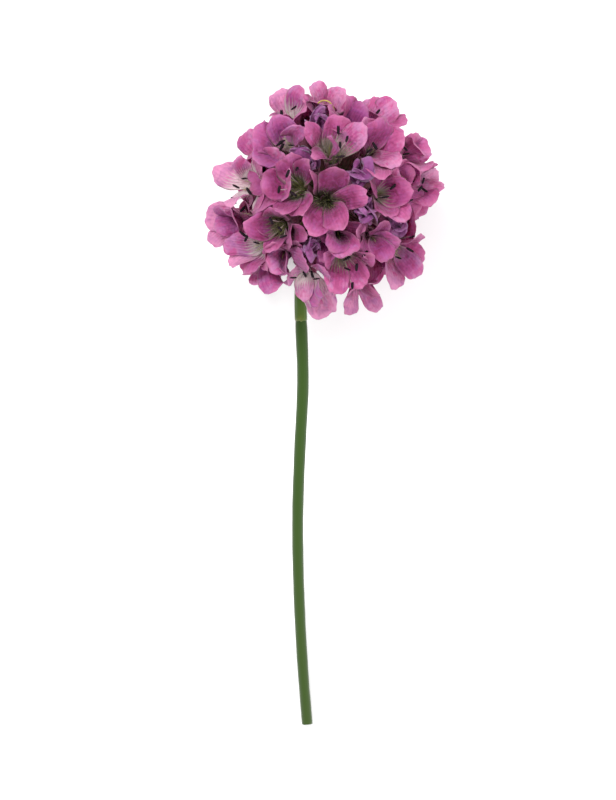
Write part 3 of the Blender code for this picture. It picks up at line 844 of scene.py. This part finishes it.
def threadTree():
    tree, into, out = newTree("threads", {
        "Sides": ("NodeSocketInt", 4),
        "Ribs": ("NodeSocketInt", 0),
        "Rib Depth": ("NodeSocketFloat", 0.0),  # share of the radius
        "Material": ("NodeSocketMaterial", None),
    })
    curve = addNode(tree, "GeometryNodeMeshToCurve", {"Mesh": into.outputs["Geometry"]})
    thick = addNode(tree, "GeometryNodeInputNamedAttribute", {"Name": "thickness"}, data_type="FLOAT")
    circle = addNode(tree, "GeometryNodeCurvePrimitiveCircle", {
        "Resolution": into.outputs["Sides"], "Radius": 1.0})
    place = addNode(tree, "GeometryNodeInputPosition")
    flat = addNode(tree, "ShaderNodeSeparateXYZ", {0: place.outputs[0]})
    turn = calc(tree, "ARCTAN2", flat.outputs[1], flat.outputs[0])
    wave = calc(tree, "COSINE", calc(tree, "MULTIPLY", turn, into.outputs["Ribs"]))
    grow = calc(tree, "MULTIPLY", wave, into.outputs["Rib Depth"])
    ribbed = addNode(tree, "ShaderNodeVectorMath", {0: place.outputs[0], "Scale": grow}, operation="SCALE")
    profile = addNode(tree, "GeometryNodeSetPosition", {
        "Geometry": circle.outputs[0], "Offset": ribbed.outputs[0]})
    tube = addNode(tree, "GeometryNodeCurveToMesh", {
        "Curve": curve.outputs[0], "Profile Curve": profile.outputs[0], "Scale": thick.outputs[0],
        "Fill Caps": True})
    return endTree(tree, tube.outputs[0], into, out)


threads = threadTree()


# lines are rows of points, each with a radius, and a value for the material where it needs one
def newThreads(name, lines, radii, material, sizes, extra=None, replaced=()):
    starts = np.cumsum([0] + [len(line) for line in lines])
    edges = [np.stack((np.arange(start, end - 1), np.arange(start + 1, end)), 1)
             for start, end in zip(starts, starts[1:])]
    mesh = bpy.data.meshes.new(name + "_lines")
    mesh.from_pydata((np.concatenate(lines) * mm + headCentre).tolist(), np.concatenate(edges).tolist(), [])
    extra = {"thickness": [r * mm for r in radii], **(extra or {})}
    for key, values in extra.items():
        mesh.attributes.new(key, "FLOAT", "POINT").data.foreach_set("value", np.concatenate(values))
    newPiece(bake(name, mesh, threads, {**sizes, "Material": material}), material, replaced)


def bezierLine(a, b, c, d, steps):
    return bezier(np.linspace(0, 1, steps)[:, None], a, b, c, d)


# stamens: a pale filament each, and a dark anther of two lobes
stamens = {
    "count": 5,
    "filament": 0.055,
    "foot": 2.6,  # of a filament, below the throat
    "steps": 9,
    "antherLength": 1.4,
    "antherWidth": 0.48,
    "antherSizes": (0.82, 1.12),  # the smallest and the largest share of these
    "antherSeed": 3,
    "antherLevel": -0.3,  # from the face that the petals' tips lie in
    "inside": 1.2,  # how far the far side's anthers stay in from where its petals end
    "anther": {"stops": ((0.35, (0.004, 0.002, 0.004)), (0.7, (0.020, 0.010, 0.016))), "scale": 3000.0,
               "roughness": 0.7, "shine": 0.1},
    "thread": {"stops": ((0.3, (0.58, 0.40, 0.46)), (0.7, (0.72, 0.64, 0.60))), "roughness": 0.5,
               "translucency": 0.2},
    "seed": 5,
}

# anthers seen from above, then their slant in degrees; the other florets of petalTips show none
antherSpots = {
    "floret_02": ((-6.3, 4.1, 70), (-7.7, 1.5, 80), (-5.4, 0.8, -30), (-4.6, 5.2, 60)),
    "floret_03": ((2, 11.3, 90), (3.4, 9.8, 75), (2.3, 8.8, 88), (2.4, 6.9, 10)),
    "floret_04": ((11, 2, 40), (9.7, 0.3, 10)),
    "floret_05": ((14.9, 3.1, 20), (16, 3.1, 70), (15.5, 1.8, 50), (16.2, 1.6, -35), (13.8, -0.2, 20)),
    "floret_06": ((-9, -3.6, -65), (-7.6, -4.9, -50), (-7, -6.2, 20)),
    "floret_07": ((6.4, -9, 50), (3.4, -9.8, 30), (5, -11.2, 88), (3.5, -11.5, -20), (4.3, -14.2, 88)),
    "floret_08": ((11.8, -7, 0), (11.4, -7.9, 10), (11.9, -9.6, -20), (13.8, -8.3, -30), (14.1, -6.2, 20)),
    "floret_09": ((-3.5, -12.4, -60), (-2.3, -12.4, -75), (-1.6, -13.1, 5), (-5.4, -12.9, 4)),
    "floret_10": ((-13.4, 3.4, 5), (-14.8, 2.1, -25), (-12.7, 1.3, -55), (-15.2, -0.2, -55)),
    "floret_11": ((-13.7, -1.6, 50),),
    "floret_12": ((-13.7, -5.7, -40), (-13.1, -6.4, 65), (-11.4, -6.1, -45), (-11.4, -7.2, -20)),
    "floret_13": ((-7.2, 9.5, 15), (-7.3, 8.5, 60), (-5.7, 8.8, 0), (-7.6, 9.1, 35)),
    "floret_14": ((-7.3, 14.1, 95), (-5.3, 15.1, 35)),
    "floret_16": ((8, 8.7, -60), (7.1, 7.9, 35)),
    "floret_17": ((13, 8.4, -40), (13.2, 7.5, 10)),
    "floret_18": ((8.5, 14.4, 50),),
}


def antherTree():
    tree, into, out = newTree("anthers", {
        "Length": ("NodeSocketFloat", 1.3 * mm),
        "Width": ("NodeSocketFloat", 0.4 * mm),
        "Smallest": ("NodeSocketFloat", 0.8),
        "Largest": ("NodeSocketFloat", 1.1),
        "Seed": ("NodeSocketInt", 1),
        "Material": ("NodeSocketMaterial", None),
    })
    half = calc(tree, "MULTIPLY", into.outputs["Width"], 0.68)
    lobeShape = addNode(tree, "GeometryNodeMeshUVSphere", {"Segments": 8, "Rings": 5, "Radius": 0.5})
    size = addNode(tree, "ShaderNodeCombineXYZ", {0: half, 1: half, 2: into.outputs["Length"]})
    lobes = addNode(tree, "GeometryNodeJoinGeometry")
    for way in (-1, 1):
        aside = calc(tree, "MULTIPLY", into.outputs["Width"], 0.19 * way)
        offset = addNode(tree, "ShaderNodeCombineXYZ", {0: aside})
        lobe = addNode(tree, "GeometryNodeTransform", {
            "Geometry": lobeShape.outputs["Mesh"], "Translation": offset.outputs[0], "Scale": size.outputs[0],
            "Rotation": (0.0, 0.03 * way, 0.0)})
        tree.links.new(lobe.outputs[0], lobes.inputs[0])
    way = addNode(tree, "GeometryNodeInputNamedAttribute", {"Name": "way"}, data_type="FLOAT_VECTOR")
    turn = addNode(tree, "FunctionNodeAlignRotationToVector", {"Vector": way.outputs[0]}, axis="Z")
    sizes = {2: into.outputs["Smallest"], 3: into.outputs["Largest"], "Seed": into.outputs["Seed"]}
    grow = addNode(tree, "FunctionNodeRandomValue", sizes, data_type="FLOAT")
    soft = addNode(tree, "GeometryNodeSetShadeSmooth", {"Geometry": lobes.outputs[0]})
    placed = addNode(tree, "GeometryNodeInstanceOnPoints", {
        "Points": into.outputs["Geometry"], "Instance": soft.outputs[0], "Rotation": turn.outputs[0],
        "Scale": grow.outputs[1]})
    return endTree(tree, placed.outputs[0], into, out)


# where a floret's anthers are and which way each points
def antherPlaces(floret, rng):
    axis = floret["axis"]
    places = []
    if floret["name"] in petalTips:
        for x, y, slant in antherSpots.get(floret["name"], ()):
            place = tipPoint(floret, x, y, stamens["antherLevel"] + rng.uniform(-0.6, 0.3))
            slant = math.radians(slant)
            way = np.array((math.cos(slant), math.sin(slant), rng.uniform(-0.3, 0.3)))
            places.append((place, unit(way)))
        return places
    for k in range(stamens["count"]):
        angle = floret["spin"] + 2 * math.pi * (k + 0.5) / stamens["count"] + rng.uniform(-0.4, 0.4)
        side = sideAt(floret, angle)
        place = axis * florets["throat"] + axis * rng.uniform(0.4, 1.8) + side * rng.uniform(0.8, 1.6)
        places.append((insideOutline(place, stamens["inside"]), unit(side + axis * rng.uniform(-0.6, 0.9))))
    return places


rng = random.Random(stamens["seed"])
antherPoints, antherWays, filamentLines = [], [], []
for floret in allFlorets:
    axis = floret["axis"]
    for place, way in antherPlaces(floret, rng):
        out = unit(place - axis * (place @ axis))
        start = axis * (florets["throat"] - stamens["foot"]) + out * 0.45
        rise = start + axis * stamens["foot"]
        filamentLines.append(bezierLine(start, rise, place - floret["face"] * 1.2, place, stamens["steps"]))
        antherPoints.append(place)
        antherWays.append(way)
antherSkin = plainMaterial("antherSkin", stamens["anther"])
antherMesh = bpy.data.meshes.new("antherPoints")
antherMesh.from_pydata((np.array(antherPoints) * mm + headCentre).tolist(), [], [])
ways = antherMesh.attributes.new("way", "FLOAT_VECTOR", "POINT")
ways.data.foreach_set("vector", np.array(antherWays).ravel())
smallest, largest = stamens["antherSizes"]
anthers = bake("anthers", antherMesh, antherTree(), {
    "Length": stamens["antherLength"] * mm, "Width": stamens["antherWidth"] * mm, "Smallest": smallest,
    "Largest": largest, "Seed": stamens["antherSeed"], "Material": antherSkin})
newPiece(anthers, antherSkin)
newThreads("filaments", filamentLines, [np.full(len(line), stamens["filament"]) for line in filamentLines],
           plainMaterial("filamentSkin", stamens["thread"]), {"Sides": 5})
print("anthers:", len(antherPoints))

# styles and the hairs in the throats
throats = {
    "styles": 5,
    "style": 0.07,
    "styleSteps": 9,
    "styleFoot": 11.4,  # distances from the middle of the head
    "styleTip": (14.6, 16.4),
    "hairs": 26,
    "hair": 0.022,
    "hairSteps": 6,
    "hairFoot": 11.9,
    "hairHeight": (1.2, 2.8),
    "tufts": {"floret_01": 190, "floret_02": 130, "floret_06": 90, "floret_03": 60, "floret_07": 50},
    "tuftHeight": (1.8, 4.4),
    "stops": ((0.0, (0.030, 0.018, 0.012)), (0.35, (0.10, 0.10, 0.03)), (0.65, (0.34, 0.34, 0.12)),
              (1.0, (0.62, 0.60, 0.38))),
    "over": "tone",
    "roughness": 0.6,
    "translucency": 0.15,
    "seed": 23,
}

# florets whose petals were kept in behind the outline hold nothing that would stick out of them
barelySeen = ["floret_21"]
for floret in allFlorets:
    end = floret["axis"] * 15.0
    if floret["name"] not in petalTips and np.linalg.norm(insideOutline(end) - end) > 0.05:
        barelySeen.append(floret["name"])

rng = random.Random(throats["seed"])
styleLines, styleRadii, styleTone, hairLines, hairRadii, hairTone = [], [], [], [], [], []
for floret in allFlorets:
    if floret["name"] in barelySeen:
        continue
    axis = floret["axis"]
    shade = throatLooks.get(floret["name"], plainThroat)[0]
    steps = throats["styleSteps"]
    for k in range(throats["styles"]):
        side = sideAt(floret, rng.uniform(0, 2 * math.pi))
        start = axis * throats["styleFoot"] + side * 0.2
        tip = axis * rng.uniform(*throats["styleTip"]) + side * rng.uniform(0.3, 1.3)
        bend = unit(np.cross(axis, side)) * rng.uniform(-0.8, 0.8)
        styleLines.append(bezierLine(start, start + axis * 1.6, tip - axis * 0.9 + bend, tip, steps))
        styleRadii.append(throats["style"] * (1 - 0.4 * np.linspace(0, 1, steps)))
        # the styles are darker where the throat is painted darker: partly painted shade of the deep throat
        styleTone.append(np.full(steps, 0.85 - 0.5 * shade + rng.uniform(-0.15, 0.15)))
    tuft = throats["tufts"].get(floret["name"], 0)
    steps = throats["hairSteps"]
    for k in range(throats["hairs"] + tuft):
        angle = rng.uniform(0, 2 * math.pi)
        out = rng.uniform(0.15, 1.15) if k < throats["hairs"] else rng.uniform(0.1, 1.9)
        side = sideAt(floret, angle)
        start = axis * (throats["hairFoot"] + 0.8 * out) + side * out
        high = rng.uniform(*throats["tuftHeight" if tuft else "hairHeight"])
        lean = rng.uniform(-0.5, 1.4 if tuft else 0.8)
        across = unit(np.cross(axis, side)) * rng.uniform(-0.9, 0.9)
        tip = start + axis * high + side * lean + across
        hairLines.append(bezierLine(start, start + axis * high * 0.4, tip - axis * high * 0.3, tip, steps))
        hairRadii.append(throats["hair"] * (1 - 0.75 * np.linspace(0, 1, steps)) * (1.5 if tuft else 1.0))
        # three hairs in four darken with the throat's shade value, partly their own dark olive colour and
        # partly painted shade of the deep throat
        tone = 0.95 - shade if rng.random() < 0.75 else 0.9
        hairTone.append(np.full(steps, tone + rng.uniform(-0.2, 0.2)))
styleSkin = plainMaterial("styleSkin", throats)
newThreads("styles", styleLines, styleRadii, styleSkin, {"Sides": 5}, {"tone": styleTone})
newThreads("throat_hairs", hairLines, hairRadii, styleSkin, {"Sides": 3}, {"tone": hairTone})
print("styles and hairs:", len(styleLines), len(hairLines))

# one dry golden thread arches over the topmost floret
dryThread = {
    "line": ((-1.3, 15.8, 8.6), (-0.4, 16.7, 9.6), (1.2, 16.2, 9.6), (1.4, 14.3, 8.8)),
    "radius": 0.14,
    "steps": 24,
    "stops": ((0.3, (0.30, 0.20, 0.045)), (0.7, (0.46, 0.35, 0.10))),
    "roughness": 0.5,
}
dryLine = bezierLine(*(np.array(point) for point in dryThread["line"]), dryThread["steps"])
dryRadii = dryThread["radius"] * (1 - 0.5 * np.linspace(0, 1, dryThread["steps"]) ** 2)
drySkin = plainMaterial("dryThreadSkin", dryThread)
newThreads("dry_thread", [dryLine], [dryRadii], drySkin, {"Sides": 6})
print("dry thread")

# the scape, along the middle line of the CAD scape
stalk = {
    "sides": 40,
    "step": 1.2,
    "ribs": 13,
    "ribDepth": 0.012,  # share of the radius, and the same for two waves of lumps
    "lumps": (0.012, 0.010),
    # the last stop is painted light: the upper end is coloured lighter to lift the shade that the head casts
    # on it
    "stops": ((0.0, (0.034, 0.062, 0.012)), (0.5, (0.028, 0.061, 0.009)), (0.8, (0.028, 0.063, 0.009)),
              (1.0, (0.050, 0.096, 0.011))),
    "over": "high",
    "spots": 0.5,
    "scale": 500.0,
    "stretch": (1.0, 0.10, 1.0),
    "roughness": 0.5,
    "shine": 0.05,
    "sheen": 0.35,
}


def lengthsAlong(line):
    return np.concatenate(([0], np.cumsum(np.linalg.norm(np.diff(line, axis=0), axis=1))))


# centre and radius of each ring of a tube in the frame, from its lower end to its upper
def middleLine(name):
    points = np.unique(np.round(nodePoints(name) / mm, 3), axis=0)
    points = points[np.argsort(points[:, 1])]
    window = 24
    starts = range(0, len(points) - window + 1, window // 2)
    line = np.array([points[start:start + window].mean(axis=0) for start in starts])
    for _ in range(3):
        way = unit(np.gradient(line, axis=0))
        nearest = ((points[:, None] - line[None]) ** 2).sum(-1).argmin(axis=1)
        place = lengthsAlong(line)[nearest] + ((points - line[nearest]) * way[nearest]).sum(-1)
        order = np.argsort(place)
        breaks = np.nonzero(np.diff(place[order]) > 0.45)[0] + 1
        rings = [points[group] for group in np.split(order, breaks)]
        line = np.array([ring.mean(axis=0) for ring in rings])
    radii = np.array([np.linalg.norm(ring - centre, axis=1).max() for ring, centre in zip(rings, line)])
    return line, radii


# the same line with points an even step apart
def evenLine(line, radii, step):
    lengths = lengthsAlong(line)
    even = np.linspace(0, lengths[-1], max(4, int(lengths[-1] / step)))
    fine = np.stack([np.interp(even, lengths, line[:, k]) for k in range(3)], 1)
    for _ in range(4):
        fine[1:-1] = (fine[:-2] + 2 * fine[1:-1] + fine[2:]) / 4
    return fine, np.interp(even, lengths, radii)


scapeLine, scapeRadii = evenLine(*middleLine("scape"), stalk["step"])
high = np.linspace(0, 1, len(scapeLine))
lumps = stalk["lumps"][0] * np.sin(high * 61) + stalk["lumps"][1] * np.sin(high * 149 + 1)
newThreads("scape_stalk", [scapeLine], [scapeRadii * (1 + lumps) * (1.02 + 0.05 * high)],
           plainMaterial("scapeSkin", stalk),
           {"Sides": stalk["sides"], "Ribs": stalk["ribs"], "Rib Depth": stalk["ribDepth"]},
           {"high": [high]}, ["scape"])
print("scape:", len(scapeLine), "rings")

# the sheath: a thin papery tube round the scape's upper end, torn into small teeth at its lower edge
sheath = {
    "ends": (-20.6, -4.4),  # along Y from the middle of the head
    "radius": 1.0,
    "wall": 0.1,
    "sides": 48,
    "step": 0.6,
    "teeth": (0.16, 0.08),
    "flare": (0.03, 0.03),  # at the lower and the upper end
    "wrinkles": (0.018, 0.012),
    "stops": ((0.0, (0.10, 0.13, 0.02)), (0.06, (0.060, 0.105, 0.012)), (0.4, (0.040, 0.090, 0.010)),
              (1.0, (0.055, 0.098, 0.012))),
    "over": "high",
    "spots": 0.4,
    "scale": 700.0,
    "stretch": (1.0, 0.30, 1.0),
    "roughness": 0.6,
    "shine": 0.08,
    "sheen": 0.4,
}
covered = (scapeLine[:, 1] > sheath["ends"][0]) & (scapeLine[:, 1] < sheath["ends"][1])
sheathRadii = np.full(covered.sum(), sheath["radius"])
sheathLine, sheathRadii = evenLine(scapeLine[covered], sheathRadii, sheath["step"])
turn = np.linspace(0, 2 * np.pi, sheath["sides"], endpoint=False)
way = unit(np.gradient(sheathLine, axis=0))
sideX = unit(np.cross(way, np.array((0.0, 0.0, 1.0))))
sideY = np.cross(way, sideX)
share = np.linspace(0, 1, len(sheathLine))
long, short = sheath["teeth"]
tooth = long * np.abs(np.sin(turn * 3.5 + 0.6)) ** 1.5 + short * np.sin(turn * 9) ** 2
slide = -tooth[:, None] * (1 - smooth(share, 0, 0.35))[None, :]
lower, upper = sheath["flare"]
flare = 1 + lower * (1 - smooth(share, 0, 0.18)) + upper * smooth(share, 0.85, 1)
fine, slow = sheath["wrinkles"]
wrinkle = 1 + fine * np.sin(turn * 11)[:, None] + slow * np.sin(turn[:, None] * 4 + share[None] * 15)
r = sheathRadii[None] * flare[None] * wrinkle
centre = sheathLine[None] + way[None] * slide[..., None]
ring = sideX[None] * np.cos(turn)[:, None, None] + sideY[None] * np.sin(turn)[:, None, None]
mesh = walledTube("sheath_paper", centre, ring, r, np.broadcast_to(share, r.shape), sheath["wall"])
newPiece(mesh, plainMaterial("sheathSkin", sheath), ["scape_sheath"])
print("sheath:", len(sheathLine), "rings")

# the receptacle keeps its own mesh
receptacle = {
    "stops": ((0.3, (0.10, 0.12, 0.05)), (0.7, (0.22, 0.24, 0.10))),
    "scale": 1200.0,
    "roughness": 0.7,
}
nodes["receptacle"].data.materials.clear()
nodes["receptacle"].data.materials.append(plainMaterial("receptacleSkin", receptacle))
print("receptacle")

# bracts: dry, ovate scales with a pale papery rim, cupped round the neck of the head
bracts = {
    "halfWidth": 1.75,
    "wall": 0.14,
    "across": 15,
    "along": 17,
    "inner": (0.72, 0.97),  # the size of the inner row's scales, and how much nearer the middle they stand
    "stops": ((0.0, (0.10, 0.12, 0.04)), (0.4, (0.26, 0.17, 0.08)), (1.0, (0.52, 0.40, 0.24))),
    "over": "high",
    "roughness": 0.75,
    "translucency": 0.25,
    "seed": 31,
}

bractNames = sorted(name for name in nodes if name.startswith("involucral"))
neck = unit(np.mean([nodePoints(name).mean(axis=0) for name in bractNames], axis=0))


def bractGrid(name, size, turned, nearer, rng):
    points = nodePoints(name) / mm
    far = np.linalg.norm(points, axis=1)
    foot = points[far < far.min() + 0.5].mean(axis=0)
    tip = points[far > far.max() - 0.4].mean(axis=0)
    if turned:
        spin = Quaternion(Vector(neck), turned)
        foot = np.array(spin @ Vector(foot)) * nearer
        tip = np.array(spin @ Vector(tip)) * nearer
    tip = foot + (tip - foot) * size
    out = unit(tip - neck * (tip @ neck))
    side = unit(np.cross(neck, out))
    u = np.linspace(-1, 1, bracts["across"])[:, None]
    v = np.linspace(0, 1, bracts["along"])[None, :]
    t = v * (1 - 0.42 * np.abs(u) ** 1.6 + 0.015 * np.sin(9 * u + rng.uniform(0, 6)))
    belly = 0.5 * np.sin(np.pi * t) ** 0.8 + 0.45 * t**5
    line = foot + (tip - foot) * t[..., None] + out * belly[..., None]
    half = bracts["halfWidth"] * size * (0.62 + 0.75 * np.sin(np.pi * np.clip(t, 0, 1) ** 0.8) * 0.6)
    radius = np.maximum((line * out).sum(-1), 0.8)
    x = u * half
    lateral = np.sin(x / radius) * radius
    lift = (1 - np.cos(x / radius)) * radius - 0.10 * np.cos(2.5 * x) * smooth(t, 0.1, 0.5)
    lift = lift - 0.14 * np.abs(u) ** 3 * np.sin(2 * np.pi * 1.3 * t + rng.uniform(0, 6))
    grid = line + side * lateral[..., None] - out * lift[..., None]
    return grid, np.maximum(t, np.abs(u) * 0.9) ** 1.6 + 0 * u


rng = random.Random(bracts["seed"])
bractSkin = plainMaterial("bractSkin", bracts)
for name in bractNames:
    grid, high = bractGrid(name, 1.0, 0.0, 1.0, rng)
    scale = name.replace("involucral_", "") + "_scale"
    mesh = newMesh(scale, *shell([grid], bracts["wall"]), {"high": twice([high])})
    newPiece(mesh, bractSkin, [name])
halfStep = math.pi / len(bractNames)
innerSize, nearer = bracts["inner"]
innerRow, tones = zip(*(bractGrid(name, innerSize, halfStep, nearer, rng) for name in bractNames))
mesh = newMesh("inner_bracts", *shell(innerRow, bracts["wall"]), {"high": twice(tones)})
newPiece(mesh, bractSkin)
print("bracts:", len(bractNames) * 2)

# floor, light and camera
stage = {
    "floor": 1.2,
    "floorColour": (0.93, 0.93, 0.93, 1),
    "world": 0.98,
    # place, size and power
    "lights": {"key": ((-0.28, 0.45, 0.8), 0.35, 7.4), "fill": ((0.5, -0.2, 0.7), 0.5, 3.6)},
    "height": 2.5,  # of the camera above the floor
    "field": 0.132,  # what the view's height covers, level with the middle of the head
    "aim": (-2.97, -33.0),
}


def addLight(name, place, size, power):
    light = bpy.data.lights.new(name, "AREA")
    light.shape = "DISK"
    light.size = size
    light.energy = power
    lamp = bpy.data.objects.new(name, light)
    lamp.location = place
    lamp.rotation_euler = (Vector(headCentre) - Vector(place)).to_track_quat("-Z", "Y").to_euler()
    bpy.context.scene.collection.objects.link(lamp)


half = stage["floor"] / 2
floorMesh = bpy.data.meshes.new("floor")
corners = [(-half, -half, 0), (half, -half, 0), (half, half, 0), (-half, half, 0)]
floorMesh.from_pydata(corners, [], [(0, 1, 2, 3)])
floorSkin, _, _ = newMaterial("floorSkin", {"Roughness": 0.9, "Base Color": stage["floorColour"]})
floorMesh.materials.append(floorSkin)
floor = bpy.data.objects.new("floor", floorMesh)
bpy.context.scene.collection.objects.link(floor)

world = bpy.data.worlds.new("studio")
world.use_nodes = True
background = world.node_tree.nodes["Background"]
background.inputs["Color"].default_value = (1, 1, 1, 1)
background.inputs["Strength"].default_value = stage["world"]
bpy.context.scene.world = world
bpy.context.scene.view_settings.view_transform = "Standard"
for lightName, (place, size, power) in stage["lights"].items():
    addLight(lightName, place, size, power)
print("floor and lights")

camera = bpy.data.cameras.new("camera")
camera.sensor_fit = "VERTICAL"
camera.sensor_height = 24.0
camera.lens = camera.sensor_height * (stage["height"] - headCentre[2]) / stage["field"]
camera.clip_start = 0.01
view = bpy.data.objects.new("camera", camera)
view.location = (headCentre[0] + stage["aim"][0] * mm, headCentre[1] + stage["aim"][1] * mm, stage["height"])
bpy.context.scene.collection.objects.link(view)
bpy.context.scene.camera = view
print("camera")
